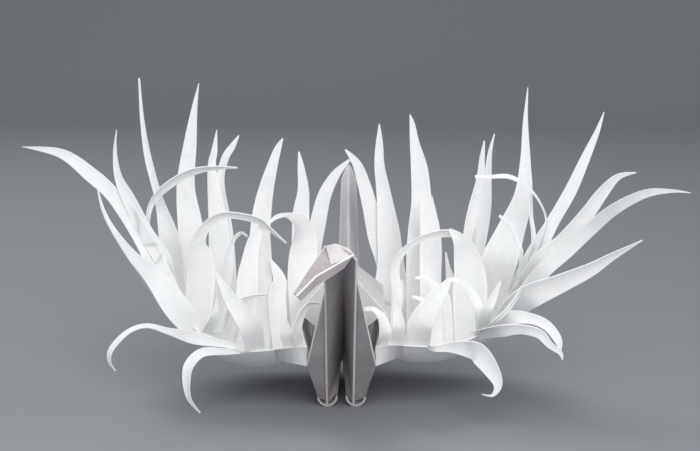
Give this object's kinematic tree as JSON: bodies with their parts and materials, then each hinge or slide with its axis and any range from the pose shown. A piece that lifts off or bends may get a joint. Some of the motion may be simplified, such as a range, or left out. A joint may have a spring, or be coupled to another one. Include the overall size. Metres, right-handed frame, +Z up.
{
  "type": "origami crane",
  "caption": "Crane folded from one sheet of white paper, standing on its keels, with wings cut into long curled blades.",
  "frame": {"origin": "bottom centre of the box around the crane, between its two keels", "axes": "-Y the way the breast and beak face, +X and -X the wings, +Z up"},
  "size_m": [0.1318, 0.1151, 0.0666],
  "materials": {
    "white_paper": "matt"
  },
  "bodies": {
    "root": {"paper_crane": "white_paper"}
  },
  "joints": []
}
